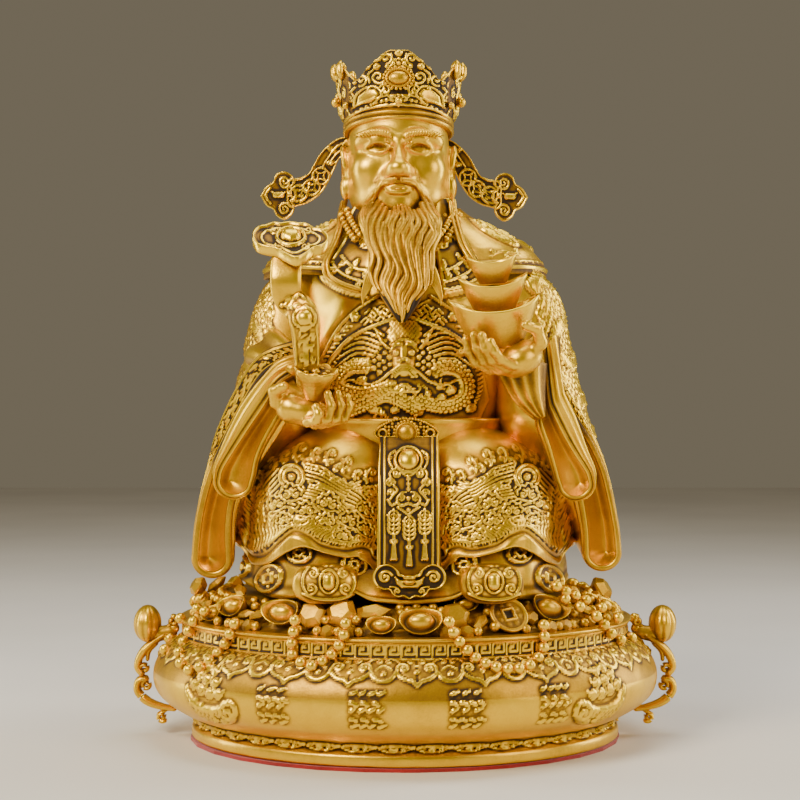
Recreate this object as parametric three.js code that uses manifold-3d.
// Seated caishen figure of cast brass, with hat wings, a ruyi sceptre and a stack of ingots,
// on an oval treasure bowl with a felt pad. Millimetres, +Z up, the front towards -Y.
import * as THREE from "three";
import { mergeVertices } from "three/addons/utils/BufferGeometryUtils.js";
import Module from "manifold-3d";

const wasm = await Module();
wasm.setup();

// Driving dimensions
const PAD_THICKNESS = 2;
const PAD_OVERHANG = 0.8;
const BOWL_FOOT_RADIUS = 130;
const BOWL_FOOT_HEIGHT = 9;
const BOWL_BULGE_RADIUS = 155;
const BOWL_BULGE_HEIGHT = 39;
const BOWL_BAND_RADIUS = 136.5;
const BOWL_BAND_HEIGHT = 9;
const BOWL_RIM_HEIGHT = 74;
const BOWL_RIM_LIP = 2;
const BOWL_DEPTH_SHARE = 0.847;
const BOWL_TURN = THREE.MathUtils.degToRad(2.4);
const LAPPETS = 15;
const LAPPET_RELIEF = 1.8;
const LAPPET_DROP = 14;
const SEAT_HEIGHT = 88;
const SEAT_RADIUS = 116;
const HANDLE_THICKNESS = 8;
const KNOB_RADIUS = 13.5;
const KNOB_HALF_DEPTH = 7;
const PEARL_RADIUS = 2.7;
const COIN_RADIUS = 10;
const COIN_THICKNESS = 2.4;
const TREASURE_INGOT_LENGTH = 25;
const FIGURE_HEIGHT = 327;
const INGOT_STACK_LENGTH = 52;
const INGOT_TILT = THREE.MathUtils.degToRad(-4);
const INGOT_NOD = THREE.MathUtils.degToRad(8);
const SCEPTRE_HEAD_WIDTH = 43;
const SCEPTRE_HEAD_THICKNESS = 4;
const WING_THICKNESS = 2.6;
const WING_REACH_RIGHT = 74;
const WING_REACH_LEFT = 68;
const SEATING_GAP = 0.3;
const WELD_GRID = 0.002;

// The figure is laid out at a height of 327 above a seat at 88, and its forms are shares of that height.
const LAYOUT_HEIGHT = 327;
const LAYOUT_SEAT = 88;
const SHARE = FIGURE_HEIGHT / LAYOUT_HEIGHT;
const HALF_TURN = Math.PI;
const FULL_TURN = 2 * Math.PI;

const { degToRad, lerp, smoothstep } = THREE.MathUtils;
const vec = (x, y, z) => new THREE.Vector3(x, y, z);
const onFigure = (x, y, z) =>
  vec(x * SHARE, y * SHARE, SEAT_HEIGHT + (z - LAYOUT_SEAT) * SHARE);
const bell = (x) => Math.exp(-x * x);

// Closed skins and solids

// Joins rings of points, one after another, into a skin. Each end is closed by rungs across its ring.
function skin(rings) {
  const columns = rings[0].length;
  const positions = rings.flat().flatMap((p) => [p.x, p.y, p.z]);
  const index = [];
  for (let j = 0; j < rings.length - 1; j++) {
    const low = j * columns;
    const high = low + columns;
    for (let i = 0; i < columns; i++) {
      const next = (i + 1) % columns;
      index.push(low + i, low + next, high + next, low + i, high + next, high + i);
    }
  }
  const cap = (first, outward) => {
    for (let i = 0; i <= (columns - 3) / 2; i++) {
      const [a, b, c, d] = [i, i + 1, columns - 2 - i, columns - 1 - i].map((k) => first + k);
      if (outward) index.push(a, b, c, a, c, d);
      else index.push(a, c, b, a, d, c);
    }
  };
  cap(0, false);
  cap((rings.length - 1) * columns, true);
  return new THREE.BufferGeometry()
    .setAttribute("position", new THREE.Float32BufferAttribute(positions, 3))
    .setIndex(index);
}

// A closed geometry as a solid, its faces pointing out.
function solid(geometry) {
  const bare = geometry.index ? geometry.toNonIndexed() : geometry.clone();
  bare.deleteAttribute("normal");
  bare.deleteAttribute("uv");
  const merged = mergeVertices(bare, 1e-3);
  const faces = merged.index.array;
  const kept = [];
  for (let i = 0; i < faces.length; i += 3) {
    const [a, b, c] = faces.slice(i, i + 3);
    if (a !== b && b !== c && a !== c) kept.push([a, b, c]);
  }
  const make = (triangles) =>
    new wasm.Manifold(
      new wasm.Mesh({
        numProp: 3,
        vertProperties: merged.attributes.position.array,
        triVerts: new Uint32Array(triangles.flat()),
      }),
    );
  const made = make(kept);
  return made.volume() < 0 ? make(kept.map(([a, b, c]) => [a, c, b])) : made;
}

const join = (solids) => solids.reduce((whole, piece) => whole.add(piece));
const cut = (whole, tools) => tools.reduce((rest, tool) => rest.subtract(tool), whole);

// A solid's points on a fine grid, without the faces that collapse or fold flat on it.
function welded(shape) {
  const data = shape.getMesh();
  const places = new Map();
  const points = [];
  const pointOf = Array.from({ length: data.numVert }, (_, i) => {
    const from = i * data.numProp;
    const steps = Array.from(data.vertProperties.subarray(from, from + 3), (v) => Math.round(v / WELD_GRID));
    const key = steps.join();
    if (!places.has(key)) {
      places.set(key, places.size);
      points.push(...steps.map((step) => step * WELD_GRID));
    }
    return places.get(key);
  });
  const faces = new Map();
  for (let i = 0; i < data.triVerts.length; i += 3) {
    const face = Array.from(data.triVerts.subarray(i, i + 3), (corner) => pointOf[corner]);
    const key = face.toSorted((one, other) => one - other).join();
    if (new Set(face).size < 3) continue;
    if (faces.has(key)) faces.delete(key);
    else faces.set(key, face);
  }
  return new THREE.BufferGeometry()
    .setAttribute("position", new THREE.Float32BufferAttribute(points, 3))
    .setIndex([...faces.values()].flat());
}

function meshOf(name, shape, material) {
  const geometry = welded(shape);
  geometry.computeVertexNormals();
  const mesh = new THREE.Mesh(geometry, material);
  mesh.name = name;
  return mesh;
}

// Forms

// A bar along a smooth curve. Its half width lies along the direction across, its half thickness square to it.
function bar({ points, steps, sides, width, thick, across }) {
  const curve = new THREE.CatmullRomCurve3(points);
  const rings = [];
  for (let i = 0; i <= steps; i++) {
    const t = i / steps;
    const centre = curve.getPoint(t);
    const along = curve.getTangent(t);
    const side = across.clone().addScaledVector(along, -across.dot(along)).normalize();
    const face = vec(0, 0, 0).crossVectors(along, side);
    rings.push(
      Array.from({ length: sides }, (_, k) => {
        const turn = (FULL_TURN * (k + 0.5)) / sides;
        return centre
          .clone()
          .addScaledVector(side, Math.cos(turn) * width(t))
          .addScaledVector(face, Math.sin(turn) * thick(t));
      }),
    );
  }
  return solid(skin(rings));
}

function ball(centre, radii, { columns = 12, rows = 8, turn = [0, 0, 0] } = {}) {
  const geometry = new THREE.SphereGeometry(1, columns, rows)
    .rotateX(HALF_TURN / 2)
    .scale(radii.x, radii.y, radii.z)
    .rotateX(turn[0])
    .rotateY(turn[1])
    .rotateZ(turn[2])
    .translate(centre.x, centre.y, centre.z);
  return solid(geometry);
}

// A point round an upright axis. Angle 0 is the front and a quarter turn is the +X side.
const around = (angle, radius, z, depthShare = 1) =>
  vec(radius * Math.sin(angle), -radius * Math.cos(angle) * depthShare, z);

// A cloud-headed outline with a pointed apex towards +Y and two curled lobes at its foot, 1 wide.
function cloudShape(width) {
  const lobe = 0.2 * width;
  const lobeX = 0.3 * width;
  const shape = new THREE.Shape();
  shape.moveTo(-0.06 * width, -0.16 * width);
  shape.absarc(-lobeX, -0.1 * width, lobe, -0.3, -HALF_TURN - 0.5, true);
  shape.quadraticCurveTo(-0.4 * width, 0.26 * width, -0.2 * width, 0.3 * width);
  shape.lineTo(0, 0.42 * width);
  shape.lineTo(0.2 * width, 0.3 * width);
  shape.quadraticCurveTo(0.4 * width, 0.26 * width, lobeX + lobe * 0.88, 0);
  shape.absarc(lobeX, -0.1 * width, lobe, 0.5, -HALF_TURN + 0.3, true);
  return shape;
}

function extruded(shape, thickness, place, curveSegments = 3) {
  const geometry = new THREE.ExtrudeGeometry(shape, {
    depth: thickness,
    bevelEnabled: false,
    curveSegments,
  }).translate(0, 0, -thickness / 2);
  return solid(place(geometry));
}

// A boat-shaped ingot about its middle, with a dome on its deck between the raised ends.
function ingot(length, columns = 10) {
  const half = length / 2;
  const beam = 0.6;
  const level = (share, height, sheer) =>
    Array.from({ length: columns }, (_, i) => {
      const angle = (FULL_TURN * i) / columns;
      const x = Math.cos(angle);
      return vec(
        x * half * share,
        Math.sin(angle) * half * share * beam,
        (height + sheer * x * x) * half,
      );
    });
  const hull = skin([
    level(0.5, -0.66, 0),
    level(1, 0.12, 0.26),
    level(0.86, 0.08, 0.18),
  ]);
  const dome = new THREE.SphereGeometry(half * 0.55, 8, 3)
    .rotateX(HALF_TURN / 2)
    .scale(1, beam * 1.1, 0.5);
  return { hull, dome };
}

function ingotSolid(length, place, columns) {
  const { hull, dome } = ingot(length, columns);
  return solid(place(hull)).add(solid(place(dome)));
}

// Treasure bowl

const bandFoot = BOWL_RIM_HEIGHT - BOWL_RIM_LIP - BOWL_BAND_HEIGHT;
const footTop = PAD_THICKNESS + BOWL_FOOT_HEIGHT - 2;
const bulgeGain = BOWL_BULGE_RADIUS - BOWL_FOOT_RADIUS;

// The outside of the bowl from its foot to its rim, as [radius, z].
const BOWL_OUTSIDE = [
  [BOWL_FOOT_RADIUS - 3, PAD_THICKNESS],
  [BOWL_FOOT_RADIUS, PAD_THICKNESS + 1.5],
  [BOWL_FOOT_RADIUS, footTop],
  [BOWL_FOOT_RADIUS + 0.55 * bulgeGain, lerp(footTop, BOWL_BULGE_HEIGHT, 0.2)],
  [BOWL_FOOT_RADIUS + 0.92 * bulgeGain, lerp(footTop, BOWL_BULGE_HEIGHT, 0.6)],
  [BOWL_BULGE_RADIUS, BOWL_BULGE_HEIGHT],
  [lerp(BOWL_BULGE_RADIUS, BOWL_BAND_RADIUS, 0.16), lerp(BOWL_BULGE_HEIGHT, bandFoot, 0.44)],
  [lerp(BOWL_BULGE_RADIUS, BOWL_BAND_RADIUS, 0.5), lerp(BOWL_BULGE_HEIGHT, bandFoot, 0.82)],
  [BOWL_BAND_RADIUS, bandFoot],
  [BOWL_BAND_RADIUS, BOWL_RIM_HEIGHT - BOWL_RIM_LIP],
  [BOWL_BAND_RADIUS + 2, BOWL_RIM_HEIGHT - BOWL_RIM_LIP],
  [BOWL_BAND_RADIUS + 2, BOWL_RIM_HEIGHT],
];

function bowlRadius(z) {
  const above = BOWL_OUTSIDE.findIndex(([, height]) => height > z);
  if (above <= 0) return above === 0 ? BOWL_OUTSIDE[0][0] : BOWL_BAND_RADIUS + 2;
  const [lowRadius, lowZ] = BOWL_OUTSIDE[above - 1];
  const [highRadius, highZ] = BOWL_OUTSIDE[above];
  return lerp(lowRadius, highRadius, (z - lowZ) / (highZ - lowZ));
}

// The bowl's side stands proud inside the lappets, a collar of pointed drops below the key band.
function lappetRelief(angle, z) {
  const phase = Math.abs(((angle * LAPPETS) / FULL_TURN) % 1 - 0.5) * 2;
  const drop = LAPPET_DROP * lerp(1, 0.35, phase);
  const inside = z > bandFoot - drop && z < bandFoot + 0.5;
  return inside ? LAPPET_RELIEF : 0;
}

// The heap rises from inside the rim to the flat seat that the figure sits on.
function bowlBody() {
  const heapFoot = BOWL_BAND_RADIUS - 3;
  const profile = [
    ...BOWL_OUTSIDE,
    [heapFoot, BOWL_RIM_HEIGHT],
    [lerp(heapFoot, SEAT_RADIUS, 0.5), lerp(BOWL_RIM_HEIGHT, SEAT_HEIGHT, 0.62)],
    [SEAT_RADIUS, SEAT_HEIGHT],
  ];
  const columns = LAPPETS * 2;
  const rings = profile.map(([radius, z]) =>
    Array.from({ length: columns }, (_, i) => {
      const angle = (FULL_TURN * i) / columns;
      return around(angle, radius + lappetRelief(angle, z), z, BOWL_DEPTH_SHARE);
    }),
  );
  return solid(skin(rings));
}

// Each handle is a pair of C-scrolls in one flat plate, under a fluted knob.
function handle(side) {
  const top = BOWL_RIM_HEIGHT - 9;
  const reach = BOWL_BULGE_RADIUS + 10.5;
  const across = vec(0, 1, 0);
  const scroll = (points) =>
    bar({
      points,
      steps: 4,
      sides: 4,
      width: () => HANDLE_THICKNESS / 2,
      thick: (t) => lerp(3.2, 2, t),
      across,
    });
  const upper = scroll([
    vec(side * (BOWL_BAND_RADIUS - 2), 0, top - 4),
    vec(side * (BOWL_BULGE_RADIUS - 5), 0, top - 9),
    vec(side * (reach - 3), 0, BOWL_BULGE_HEIGHT + 9),
    vec(side * reach, 0, BOWL_BULGE_HEIGHT),
    vec(side * (reach - 5), 0, BOWL_BULGE_HEIGHT - 4),
    vec(side * (BOWL_BULGE_RADIUS - 2), 0, BOWL_BULGE_HEIGHT + 1),
  ]);
  const lower = scroll([
    vec(side * (BOWL_BULGE_RADIUS - 1), 0, BOWL_BULGE_HEIGHT - 7),
    vec(side * (reach - 4), 0, BOWL_BULGE_HEIGHT - 5),
    vec(side * (reach - 4), 0, BOWL_BULGE_HEIGHT - 13),
    vec(side * (BOWL_BULGE_RADIUS - 1), 0, BOWL_BULGE_HEIGHT - 20),
    vec(side * (BOWL_BULGE_RADIUS - 10), 0, BOWL_BULGE_HEIGHT - 22),
  ]);
  const knobCentre = vec(side * (BOWL_BULGE_RADIUS + 5), 0, BOWL_RIM_HEIGHT - 7);
  const knob = ball(knobCentre, vec(KNOB_HALF_DEPTH, KNOB_RADIUS, KNOB_RADIUS), {
    columns: 8,
    rows: 5,
  });
  const neck = bar({
    points: [
      knobCentre.clone().add(vec(-side * 22, 0, -3)),
      knobCentre.clone().add(vec(-side * 10, 0, -8)),
      knobCentre,
    ],
    steps: 2,
    sides: 5,
    width: () => 5,
    thick: () => 4,
    across,
  });
  return [upper, lower, knob, neck];
}

// A festoon of pearls from one angle to another, over the rim and down the side of the bowl, as one cord.
function festoon(from, to, sag) {
  const points = Array.from({ length: 7 }, (_, i) => {
    const t = (1 - Math.cos((HALF_TURN * i) / 6)) / 2;
    const z = BOWL_RIM_HEIGHT + 1 - sag * Math.sqrt(1 - (2 * t - 1) ** 2);
    const radius = bowlRadius(Math.min(z, BOWL_RIM_HEIGHT - 0.1)) + 0.5 * PEARL_RADIUS;
    return around(lerp(from, to, t), radius, z, BOWL_DEPTH_SHARE);
  });
  return bar({
    points,
    steps: 6,
    sides: 3,
    width: () => PEARL_RADIUS,
    thick: () => PEARL_RADIUS,
    across: vec(0, 0.01, 1),
  });
}

// Places a treasure on the slope of the heap, leaning outwards, at an angle round the bowl.
function onHeap(angle, lift, lean, spin = 0) {
  const slope = (BOWL_BAND_RADIUS + SEAT_RADIUS) / 2;
  const place = around(angle, slope + 1, lerp(BOWL_RIM_HEIGHT, SEAT_HEIGHT, 0.55) + lift, BOWL_DEPTH_SHARE);
  return (geometry) =>
    geometry
      .rotateZ(spin)
      .rotateX(lean)
      .rotateZ(angle)
      .translate(place.x, place.y, place.z);
}

function heapTreasures() {
  const lean = degToRad(42);
  const coinLean = degToRad(62);
  const slots = 12;
  return Array.from({ length: slots }, (_, i) => {
    const angle = (FULL_TURN * (i + 0.5)) / slots;
    if (i % 3 === 0)
      return ingotSolid(TREASURE_INGOT_LENGTH, onHeap(angle, 2, lean, degToRad(8 * (i % 5) - 14)), 8);
    if (i % 3 === 1) {
      const coin = new THREE.CylinderGeometry(COIN_RADIUS, COIN_RADIUS, COIN_THICKNESS, 8);
      return solid(onHeap(angle, 1, coinLean)(coin.rotateX(HALF_TURN / 2)));
    }
    const gem = new THREE.OctahedronGeometry(8.5, 0);
    return solid(onHeap(angle, 0, lean, i)(gem));
  });
}

function treasureBowl() {
  const festoons = [
    [-32, -14, 19],
    [17, 37, 20],
  ].map(([from, to, sag]) => festoon(degToRad(from), degToRad(to), sag));
  return join([
    bowlBody(),
    ...handle(-1),
    ...handle(1),
    ...heapTreasures(),
    ...festoons,
  ]);
}

function feltPad() {
  const pad = new THREE.CylinderGeometry(1, 1, PAD_THICKNESS, 30)
    .rotateX(HALF_TURN / 2)
    .scale(BOWL_FOOT_RADIUS + PAD_OVERHANG, BOWL_DEPTH_SHARE * BOWL_FOOT_RADIUS + PAD_OVERHANG, 1)
    .translate(0, 0, PAD_THICKNESS / 2);
  return solid(pad);
}

// Robes, from the seat to the neck

const KNEE_ANGLE = degToRad(36);
const KNEE_SPREAD = degToRad(23);
const SEATED_WIDTH = 100;
const SEATED_FRONT = 70;
const SEATED_BACK = 62;

function ellipseRadius(angle, width, front, back) {
  const depth = Math.cos(angle) > 0 ? front : back;
  return 1 / Math.hypot(Math.sin(angle) / width, Math.cos(angle) / depth);
}

const wrapped = (angle) => Math.abs(((angle + HALF_TURN) % FULL_TURN) - HALF_TURN);

// The lap, the knees and the skirt are one rounded mass, with two knees and folds down the back.
function lapRadius(angle, z) {
  const top = 198;
  const fullness = Math.sqrt(Math.max(0, 1 - Math.max(0, (z - 140) / (top - 140)) ** 2.6));
  const foot = 1 - 0.06 * Math.max(0, (118 - z) / 30);
  const knees = 29 * bell((wrapped(angle) - KNEE_ANGLE) / KNEE_SPREAD);
  const backFold = 2 * Math.max(0, -Math.cos(angle)) * Math.cos(13 * angle);
  return (ellipseRadius(angle, SEATED_WIDTH, SEATED_FRONT, SEATED_BACK) + knees + backFold) * fullness * foot;
}

// The hem of the outer robe waves up over each shin.
function hemHeight(angle) {
  const a = wrapped(angle);
  return 119 + 13 * bell((a - degToRad(40)) / degToRad(14)) + 3 * Math.cos(9 * a);
}

function stack(columns, heights, radiusAt) {
  const rings = heights.map((heightAt) =>
    Array.from({ length: columns }, (_, i) => {
      const angle = (FULL_TURN * i) / columns;
      const z = heightAt(angle);
      const p = around(angle, radiusAt(angle, z), z);
      return onFigure(p.x, p.y, p.z);
    }),
  );
  return solid(skin(rings));
}

function outerRobe() {
  const heights = [0, 0.06, 0.4, 0.72, 0.9, 0.98].map(
    (share) => (angle) => lerp(hemHeight(angle), 197, share),
  );
  return stack(26, heights, (angle, z) => lapRadius(angle, z) + 4 * bell((z - hemHeight(angle)) / 5));
}

function underRobe() {
  const edge = (angle) => 94 + 3.5 * Math.cos(8 * angle);
  const heights = [() => LAYOUT_SEAT, edge, () => 108, () => 126];
  const flare = [-8, 1, -2, -8];
  const rings = heights.map((heightAt, level) =>
    Array.from({ length: 24 }, (_, i) => {
      const angle = (FULL_TURN * i) / 24;
      const z = heightAt(angle);
      const p = around(angle, lapRadius(angle, z) + flare[level], z);
      return onFigure(p.x, p.y, p.z);
    }),
  );
  return solid(skin(rings));
}

// Trunk sections as [z, half width, front, back].
const TRUNK = [
  [176, 56, 58, 56],
  [196, 58, 65, 57],
  [218, 60, 69, 56],
  [246, 62, 60, 54],
  [274, 66, 47, 49],
  [292, 61, 39, 43],
  [310, 36, 26, 30],
  [326, 29, 20, 27],
];

function trunkAt(z) {
  const above = Math.max(1, TRUNK.findIndex(([height]) => height > z));
  const [low, high] = [TRUNK[above - 1], TRUNK[above]];
  const t = (z - low[0]) / (high[0] - low[0]);
  return [1, 2, 3].map((k) => lerp(low[k], high[k], t));
}

function trunk() {
  return stack(
    16,
    TRUNK.map(([z]) => () => z),
    (angle, z) => ellipseRadius(angle, ...trunkAt(Math.min(z, 325.9))),
  );
}

// The face of the trunk at a place seen from the front.
function trunkFront(x, z) {
  const [width, front] = trunkAt(z);
  return -front * Math.sqrt(Math.max(0.05, 1 - (x / width) ** 2));
}

function belt() {
  const rings = [
    [178, 0.97, 5.5],
    [181, 1, 6.5],
    [193.5, 0.98, 4],
  ].map(([z, share, proud]) =>
    Array.from({ length: 14 }, (_, i) => {
      const angle = (FULL_TURN * i) / 14;
      const p = around(angle, share * ellipseRadius(angle, ...trunkAt(z)) + proud, z);
      return onFigure(p.x, p.y, p.z);
    }),
  );
  const plaque = new THREE.CylinderGeometry(1, 1.15, 5 * SHARE, 10).scale(17.6 * SHARE, 1, 8 * SHARE);
  const plaqueAt = onFigure(0, -73, 186);
  const boss = ball(onFigure(0, -76, 186), vec(5, 3.5, 5).multiplyScalar(SHARE), { columns: 8, rows: 4 });
  return [
    solid(skin(rings)),
    solid(plaque.rotateX(HALF_TURN).translate(plaqueAt.x, plaqueAt.y, plaqueAt.z)),
    boss,
  ];
}

// The apron hangs from the belt between the knees and ends in a cloud head.
function apron() {
  const section = (z, halfWidth, front, back) => [
    onFigure(-halfWidth + 2, front, z),
    onFigure(halfWidth + 2, front, z),
    onFigure(halfWidth + 2, back, z),
    onFigure(-halfWidth + 2, back, z),
  ];
  const panel = solid(
    skin([
      section(108, 17, -93, -60),
      section(135, 17, -91.5, -60),
      section(160, 16.5, -87, -60),
      section(182, 16, -76, -55),
    ]),
  );
  const endAt = onFigure(2, -88, 106);
  const end = extruded(cloudShape(44 * SHARE), 9 * SHARE, (geometry) =>
    geometry
      .rotateX(HALF_TURN / 2 + degToRad(4))
      .rotateY(HALF_TURN)
      .translate(endAt.x, endAt.y, endAt.z),
  );
  const tassel = (x, top) =>
    bar({
      points: [onFigure(x, -92.5, top), onFigure(x, -94, top - 18)],
      steps: 1,
      sides: 6,
      width: (t) => lerp(1.5, 3, t) * SHARE,
      thick: () => 1.8 * SHARE,
      across: vec(1, 0, 0),
    });
  const gem = ball(onFigure(2, -84.5, 169), vec(6, 3, 6).multiplyScalar(SHARE), { columns: 8, rows: 4 });
  return [panel, end, gem, tassel(-6.5, 134), tassel(2, 128), tassel(10.5, 134)];
}

function boot(side) {
  const width = (t) => lerp(15, 18, smoothstep(t, 0, 0.6)) * Math.sqrt(1 - Math.max(0, (t - 0.75) / 0.3) ** 2);
  const upper = bar({
    points: [
      onFigure(side * 38, -50, 101),
      onFigure(side * 42, -72, 101),
      onFigure(side * 46, -91, 99),
      onFigure(side * 47, -97, 97),
    ],
    steps: 4,
    sides: 8,
    width: (t) => width(t) * SHARE,
    thick: (t) => lerp(14, 8.5, t) * SHARE,
    across: vec(1, 0, 0),
  });
  return [upper];
}

// Sleeves and arms

// Sleeve sections as [z, outer x, inner x, front y, back y], for the +X side.
const SLEEVE = [
  [99, 127, 109, -30, 4],
  [110, 131, 104, -36, 14],
  [140, 126.5, 92, -45, 25],
  [182, 113, 58, -54, 33],
  [214, 104, 52, -46, 38],
  [262, 94, 46, -28, 36],
  [288, 78, 36, -22, 30],
];

function sleeve(side) {
  const columns = 10;
  const rings = SLEEVE.map(([z, outer, inner, front, back]) =>
    Array.from({ length: columns }, (_, i) => {
      const angle = (side * FULL_TURN * i) / columns;
      const sin = Math.sin(angle);
      const cos = Math.cos(angle);
      const x = (outer + inner) / 2 + (Math.sign(sin) * Math.abs(sin) ** 0.8 * (outer - inner)) / 2;
      const y = (front + back) / 2 - (Math.sign(cos) * Math.abs(cos) ** 0.8 * (back - front)) / 2;
      return onFigure(side * x, y, z);
    }),
  );
  return solid(skin(rings));
}

// A sleeve opening: a drop-shaped trough along a curve, with a rounded lip, open towards the front.
function trough({ points, widths, lip, depth, facing }) {
  const curve = new THREE.CatmullRomCurve3(points);
  const stations = 6;
  const widthAt = (s) => {
    const k = Math.min(widths.length - 2, Math.floor(s * (widths.length - 1)));
    return lerp(widths[k], widths[k + 1], s * (widths.length - 1) - k);
  };
  const loop = (inset, back) => {
    const points = [];
    for (const hand of [1, -1])
      for (let i = 0; i < stations; i++) {
        const s = hand > 0 ? i / (stations - 1) : 1 - i / (stations - 1);
        const along = curve.getTangent(s);
        const side = vec(0, 0, 0).crossVectors(along, facing).normalize();
        const half = Math.max(0.4, widthAt(s) - inset) * Math.sqrt(Math.max(0.02, 1 - s ** 10));
        points.push(
          curve
            .getPoint(s)
            .addScaledVector(side, hand * half * SHARE)
            .addScaledVector(facing, -back * SHARE),
        );
      }
    return points;
  };
  return solid(skin([loop(2, depth + 4), loop(0, 1), loop(lip, 1.5), loop(lip + 2, depth)]));
}

const wrist = (side) => (side < 0 ? [-61, -78, 203] : [68, -66, 223]);

function sleeveOpenings(side) {
  const facing = vec(-side * 0.35, -1, 0.12).normalize();
  const [wristX, wristY, wristZ] = wrist(side);
  const outer = trough({
    points: [
      onFigure(wristX + side * 4, wristY + 14, wristZ + 8),
      onFigure(side * 96, -48, 196),
      onFigure(side * 109, -42, 160),
      onFigure(side * 116.5, -36, 128),
      onFigure(side * 118, -31, 101),
    ],
    widths: [6, 8, 10, 12, 12.5, 12.5],
    lip: 3,
    depth: 9,
    facing,
  });
  const inner = trough({
    points: [
      onFigure(wristX + side * 2, wristY + 6, wristZ - 4),
      onFigure(side * 83, -62, 189),
      onFigure(side * 94, -60, 168),
      onFigure(side * 100, -58, 147),
    ],
    widths: [4.5, 6, 8, 9, 9.5],
    lip: 2.5,
    depth: 7,
    facing,
  });
  const forearm = bar({
    points: [
      onFigure(side * 82, 2, 224),
      onFigure(side * 85, -26, 215),
      onFigure(wristX + side * 8, wristY + 18, wristZ + 2),
      onFigure(wristX, wristY, wristZ),
    ],
    steps: 3,
    sides: 6,
    width: (t) => lerp(20, 12, t) * SHARE,
    thick: (t) => lerp(23, 12, t) * SHARE,
    across: vec(0, 0, 1),
  });
  return [outer, inner, forearm];
}

// A shoulder cape of one leaf over each shoulder, with a turned-out edge.
function shoulderLeaf(side) {
  const columns = 10;
  const levels = [
    [1, 281],
    [0.98, 285],
    [0.62, 306],
    [0.25, 317],
  ];
  const rings = levels.map(([share, z]) =>
    Array.from({ length: columns }, (_, i) => {
      const angle = (FULL_TURN * i) / columns;
      const out = Math.max(0, side * Math.sin(angle));
      const x = side * 46 + Math.sin(angle) * share * lerp(30, 37, out);
      return onFigure(x, 4 - Math.cos(angle) * share * 40, z + 3 * out * share);
    }),
  );
  return solid(skin(rings));
}

// Two long lapels come down from behind the neck and lie on the chest.
function lapel(side) {
  const outline = [
    [27, 324],
    [35, 303],
    [41, 291],
    [48, 282],
    [45, 274],
    [36, 269.5],
    [22, 267],
    [17, 300],
    [18, 324],
  ];
  const ring = (lift) =>
    outline.map(([x, z]) => onFigure(side * x, trunkFront(x, Math.min(z, 300)) - lift, z));
  return solid(skin([ring(-8), ring(3.4)]));
}

// Hands

const finger = (points, radius, across = vec(1, 0, 0)) =>
  bar({
    points,
    steps: 2,
    sides: 4,
    width: (t) => lerp(radius, radius * 0.8, t) * SHARE * 1.1,
    thick: (t) => lerp(radius, radius * 0.8, t) * SHARE * 1.1,
    across,
  });

// The right hand is cupped round the foot of the sceptre, its fingers rising on the inner side.
function sceptreHand() {
  const palm = ball(onFigure(-55, -84, 199), vec(17, 13, 9).multiplyScalar(SHARE), { columns: 8, rows: 4, turn: [0, 0.25, 0] });
  const fingers = [0, 1, 2, 3].map((i) =>
    finger(
      [
        onFigure(-49 + i * 1.5, -93 + i * 6, 195),
        onFigure(-41 + i * 1.6, -96 + i * 6.2, 196),
        onFigure(-37 + i * 1.6, -95 + i * 6, 203),
        onFigure(-41 + i * 1.8, -92 + i * 5.5, 210 - i),
      ],
      3.7,
      vec(0, 1, 0),
    ),
  );
  const thumb = finger(
    [onFigure(-66, -84, 198), onFigure(-71, -92, 204), onFigure(-68, -94, 212)],
    4.6,
    vec(0, 1, 0),
  );
  return [palm, ...fingers, thumb];
}

// The left hand is turned up under the ingots, its fingers pointing inwards.
function ingotHand() {
  const palm = ball(onFigure(61, -74, 227), vec(17, 15, 9).multiplyScalar(SHARE), { columns: 8, rows: 4, turn: [0, -0.3, 0] });
  const fingers = [0, 1, 2, 3].map((i) =>
    finger(
      [
        onFigure(56 - i * 2, -86 + i * 6, 224),
        onFigure(46 - i * 2.5, -91 + i * 6, 227),
        onFigure(39 - i * 2.6, -92 + i * 6, 234),
        onFigure(36 - i * 2, -91 + i * 6, 243 - i),
      ],
      3.7,
      vec(0, 1, 0),
    ),
  );
  const thumb = finger(
    [onFigure(68, -82, 228), onFigure(74, -91, 236), onFigure(70, -95, 246)],
    4.6,
    vec(0, 1, 0),
  );
  return [palm, ...fingers, thumb];
}

// Head

const HEAD = [-4, -1, 343];

function head() {
  const [x, y, z] = HEAD;
  const skull = ball(onFigure(x, y, z), vec(32, 35, 36).multiplyScalar(SHARE), { columns: 10, rows: 7 });
  const jaw = ball(onFigure(x, y - 8, z - 15), vec(26, 25, 16).multiplyScalar(SHARE), { columns: 10, rows: 4 });
  const nose = bar({
    points: [onFigure(x, y - 34, z + 9), onFigure(x, y - 37, z + 2), onFigure(x, y - 38, z - 5)],
    steps: 2,
    sides: 6,
    width: (t) => lerp(2.5, 6, t) * SHARE,
    thick: (t) => lerp(2, 4, t) * SHARE,
    across: vec(1, 0, 0),
  });
  const brow = (side) =>
    bar({
      points: [
        onFigure(x + side * 6, y - 31.6, z + 13),
        onFigure(x + side * 14, y - 27.8, z + 16),
        onFigure(x + side * 24, y - 19.5, z + 12),
      ],
      steps: 2,
      sides: 4,
      width: () => 2 * SHARE,
      thick: () => 1.8 * SHARE,
      across: vec(0, 0, 1),
    });
  const ear = (side) =>
    bar({
      points: [onFigure(x + side * 31, 4, z + 13), onFigure(x + side * 33.5, 2, z), onFigure(x + side * 34, 0, z - 16)],
      steps: 3,
      sides: 6,
      width: (t) => lerp(7, 4.4, t) * SHARE,
      thick: () => 3 * SHARE,
      across: vec(0, 1, 0),
    });
  return [skull, jaw, nose, brow(-1), brow(1), ear(-1), ear(1)];
}

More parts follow.
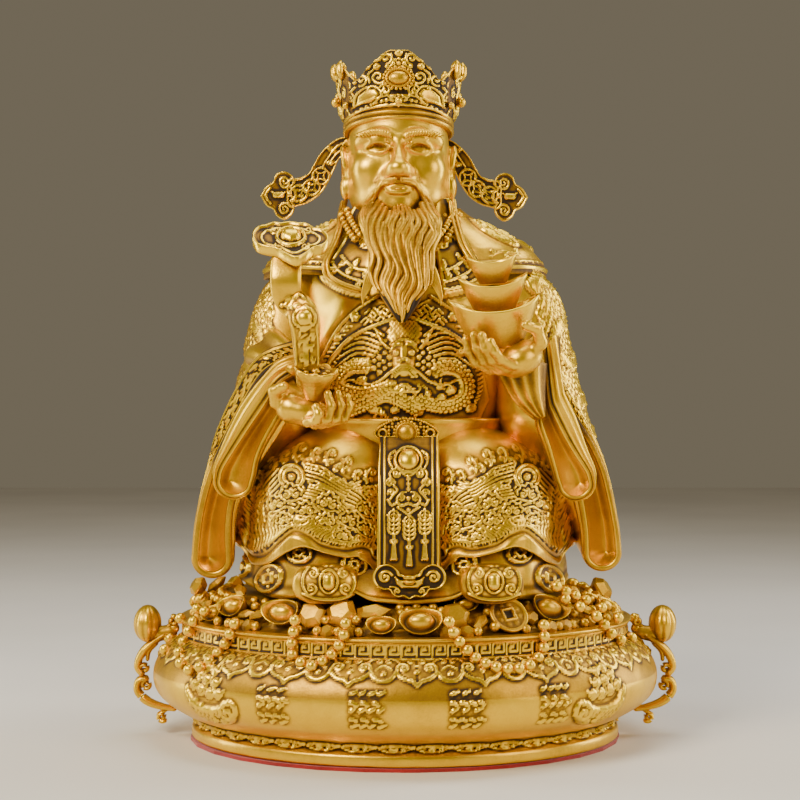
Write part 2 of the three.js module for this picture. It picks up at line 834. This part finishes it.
// The beard falls over the chest in flutes, with a long moustache lock on each side.
function beard() {
  const stations = [
    [322, -32, 18, 8],
    [308, -43, 21, 9],
    [290, -52, 20, 9],
    [270, -61, 15, 7.5],
    [256, -68, 6.5, 5],
    [249, -70, 2, 3],
  ];
  const columns = 12;
  const rings = stations.map(([z, y, width, depth]) =>
    Array.from({ length: columns }, (_, i) => {
      const angle = (FULL_TURN * i) / columns;
      const flute = 1 + 0.13 * Math.cos(7 * angle);
      const sway = 1.5 * Math.sin(z / 9);
      return onFigure(-2 + sway + width * flute * Math.sin(angle), y - depth * flute * Math.cos(angle), z);
    }),
  );
  const lock = (side) =>
    bar({
      points: [
        onFigure(-2 + side * 2, -40, 336),
        onFigure(-2 + side * 14, -43, 331),
        onFigure(-2 + side * 21, -46, 312),
        onFigure(-2 + side * 15, -57, 292),
        onFigure(-2 + side * 21, -56, 277),
        onFigure(-2 + side * 23, -58, 263),
      ],
      steps: 5,
      sides: 4,
      width: (t) => lerp(4, 1, t) * SHARE,
      thick: (t) => lerp(3.4, 1, t) * SHARE,
      across: vec(1, 0, 0.2),
    });
  return [solid(skin(rings)), lock(-1), lock(1)];
}

// Hat

const HAT_TILT = degToRad(8);

// The rim of the crown: a tall front plate, then leaves that rise towards the sides and the back.
function crownTop(angle) {
  const a = wrapped(angle);
  const plate = 9 * bell(a / degToRad(24));
  const leaves = [86, 130, 174].reduce((sum, at) => sum + 6 * bell((a - degToRad(at)) / degToRad(13)), 0);
  return 31.5 + plate + 3 * smoothstep(a, degToRad(30), degToRad(80)) + leaves;
}

function hat() {
  const [x, , z] = HEAD;
  const base = z + 25.5;
  const columns = 24;
  const ring = (radius, heightAt) =>
    Array.from({ length: columns }, (_, i) => {
      const angle = (FULL_TURN * i) / columns;
      return around(angle, radius, heightAt(angle));
    });
  const crown = solid(
    skin([
      ring(33.5, () => 0),
      ring(40.5, () => 12),
      ring(41.5, crownTop),
      ring(38, (angle) => crownTop(angle) - 0.5),
      ring(34, () => 20),
    ]),
  );
  const gem = ball(vec(0, -41.5, 23), vec(6.5, 4, 5), { columns: 8, rows: 4 });
  const placed = join([crown, gem])
    .rotate([-THREE.MathUtils.radToDeg(HAT_TILT), 0, 0])
    .scale([SHARE, SHARE, SHARE]);
  const seat = onFigure(x, 3, base);
  return placed.translate([seat.x, seat.y, seat.z]);
}

// Carving that shows from a step away: the dragon on the belly, and curling waves on the knees

function bellyDragon() {
  const onBelly = (x, z, lift) => onFigure(x, trunkFront(x, z) - lift, z);
  const coil = (side) =>
    bar({
      points: [
        onBelly(side * 6, 226, 2),
        onBelly(side * 24, 236, 1),
        onBelly(side * 42, 228, 1),
        onBelly(side * 42, 208, 1),
        onBelly(side * 24, 201, 1),
        onBelly(side * 8, 206, 1),
      ],
      steps: 5,
      sides: 4,
      width: () => 5 * SHARE,
      thick: () => 3 * SHARE,
      across: vec(0, 0, 1).addScaledVector(vec(1, 0, 0), 0.02),
    });
  const dragonHead = ball(onBelly(0, 228, 2), vec(11, 5, 9).multiplyScalar(SHARE), { columns: 8, rows: 4 });
  return [coil(-1), coil(1), dragonHead];
}

function kneeWaves(side) {
  const crests = [
    [-14, 164],
    [14, 166],
  ];
  return crests.map(([offset, z]) => {
    const angle = side * KNEE_ANGLE + degToRad(offset);
    const at = (turn, height) => {
      const p = around(angle + degToRad(turn), lapRadius(angle + degToRad(turn), height) + 0.6, height);
      return onFigure(p.x, p.y, p.z);
    };
    return bar({
      points: [at(-3, z - 22), at(-2, z - 8), at(1, z), at(4, z - 3), at(3, z - 7)],
      steps: 3,
      sides: 4,
      width: (t) => lerp(5, 2, t) * SHARE,
      thick: () => 1.8 * SHARE,
      across: vec(Math.cos(angle), Math.sin(angle), 0.3),
    });
  });
}

// What the hands hold, and the hat's wings

function wing(side, grow = 0) {
  const [x, , z] = HEAD;
  const plane = 10;
  const reach = side < 0 ? WING_REACH_RIGHT : WING_REACH_LEFT;
  const blade = bar({
    points: [
      onFigure(x + side * 33, plane, z + 26),
      onFigure(x + side * (reach - 32), plane, z + 16),
      onFigure(x + side * (reach - 24), plane, z + 3),
      onFigure(x + side * (reach - 15), plane, z - 8),
      onFigure(x + side * (reach - 4), plane, z - 11),
    ],
    steps: 5,
    sides: 4,
    width: (t) => (lerp(5, 9, smoothstep(t, 0, 0.4)) + grow) * SHARE,
    thick: () => (WING_THICKNESS * 0.71 + grow) * SHARE,
    across: vec(side * 0.5, 0, 1),
  });
  if (grow > 0) return blade;
  const headAt = onFigure(x + side * reach, plane, z - 11);
  const cloud = extruded(cloudShape(30 * SHARE), WING_THICKNESS, (geometry) =>
    geometry
      .rotateX(HALF_TURN / 2)
      .rotateY(side * HALF_TURN / 2)
      .translate(headAt.x, headAt.y, headAt.z),
  );
  return join([blade, cloud]);
}

// The sceptre: a cloud head, a strap bent at its knee, and a flared foot in the hand.
function sceptre(grow = 0) {
  const foot = bar({
    points: [onFigure(-51, -92, 218), onFigure(-52, -91, 211), onFigure(-53, -90, 204)],
    steps: 3,
    sides: 8,
    width: (t) => (lerp(10.5, 6.5, smoothstep(t, 0, 0.6)) + grow) * SHARE,
    thick: (t) => (lerp(10, 6, smoothstep(t, 0, 0.6)) + grow) * SHARE,
    across: vec(1, 0, 0),
  });
  const strap = bar({
    points: [
      onFigure(-52, -90, 214),
      onFigure(-57, -91, 228),
      onFigure(-62, -90, 250),
      onFigure(-66, -83, 261),
      onFigure(-67, -81, 278),
      onFigure(-64, -83, 292),
    ],
    steps: 8,
    sides: 4,
    width: (t) => (1.15 * lerp(5, 7.5, smoothstep(t, 0.2, 0.7)) + grow) * SHARE,
    thick: () => (3.2 + grow) * SHARE,
    across: vec(1, 0, 0.1),
  });
  if (grow > 0) return foot.add(strap);
  const headAt = onFigure(-64, -84, 293);
  const tip = degToRad(38);
  const cloud = extruded(
    cloudShape(SCEPTRE_HEAD_WIDTH),
    SCEPTRE_HEAD_THICKNESS,
    (geometry) => geometry.rotateZ(HALF_TURN).rotateX(tip).translate(headAt.x, headAt.y, headAt.z),
  );
  const headBoss = ball(headAt.clone().add(vec(0, -1, 2)), vec(6, 5, 4).multiplyScalar(SHARE), {
    columns: 8,
    rows: 4,
    turn: [tip, 0, 0],
  });
  const kneeBoss = ball(onFigure(-60, -94, 249), vec(5, 3.4, 5).multiplyScalar(SHARE), { columns: 8, rows: 4 });
  return join([foot, strap, cloud, headBoss, kneeBoss]);
}

function ingotCentre() {
  return onFigure(51, -80, 250);
}

function ingotStack() {
  const centre = ingotCentre();
  const stackShares = [
    [1, 2],
    [0.76, 16.5],
    [0.58, 31],
  ];
  return join(
    stackShares.map(([share, lift]) =>
      ingotSolid(INGOT_STACK_LENGTH * share, (geometry) =>
        geometry
          .translate(0, 0, lift)
          .rotateX(INGOT_NOD)
          .rotateY(INGOT_TILT)
          .translate(centre.x, centre.y, centre.z),
      ),
    ),
  );
}

// Room for the ingots in the palm: the lowest hull, a seating gap larger all round.
function ingotSeat() {
  const { hull } = ingot(INGOT_STACK_LENGTH + 4 * SEATING_GAP);
  const centre = ingotCentre();
  return solid(
    hull
      .translate(0, 0, 2)
      .rotateX(INGOT_NOD)
      .rotateY(INGOT_TILT)
      .translate(centre.x, centre.y, centre.z),
  );
}

function seatedFigure() {
  const whole = join([
    underRobe(),
    outerRobe(),
    trunk(),
    ...belt(),
    ...apron(),
    ...[-1, 1].flatMap((side) => [
      ...boot(side),
      sleeve(side),
      ...sleeveOpenings(side),
      shoulderLeaf(side),
      lapel(side),
      ...kneeWaves(side),
    ]),
    ...sceptreHand(),
    ...ingotHand(),
    ...head(),
    ...beard(),
    ...bellyDragon(),
    hat(),
  ]);
  const floor = SEAT_HEIGHT + SEATING_GAP;
  return cut(whole.trimByPlane([0, 0, 1], floor), [
    wing(-1, SEATING_GAP),
    wing(1, SEATING_GAP),
    sceptre(2 * SEATING_GAP),
    ingotSeat(),
  ]);
}

// The whole

const brass = new THREE.MeshStandardMaterial({ color: 0xc2932f, metalness: 1, roughness: 0.34 });
const felt = new THREE.MeshStandardMaterial({ color: 0xb01418, metalness: 0, roughness: 0.95 });

const figure = new THREE.Group();
const base = new THREE.Group();
base.rotation.z = BOWL_TURN;
base.add(meshOf("treasure_bowl", treasureBowl(), brass));
base.add(meshOf("felt_pad", feltPad(), felt));
figure.add(base);
figure.add(meshOf("seated_figure", seatedFigure(), brass));
figure.add(meshOf("hat_wing_right", wing(-1), brass));
figure.add(meshOf("hat_wing_left", wing(1), brass));
figure.add(meshOf("ruyi_sceptre", sceptre(), brass));
figure.add(meshOf("ingot_stack", ingotStack(), brass));

export default figure;
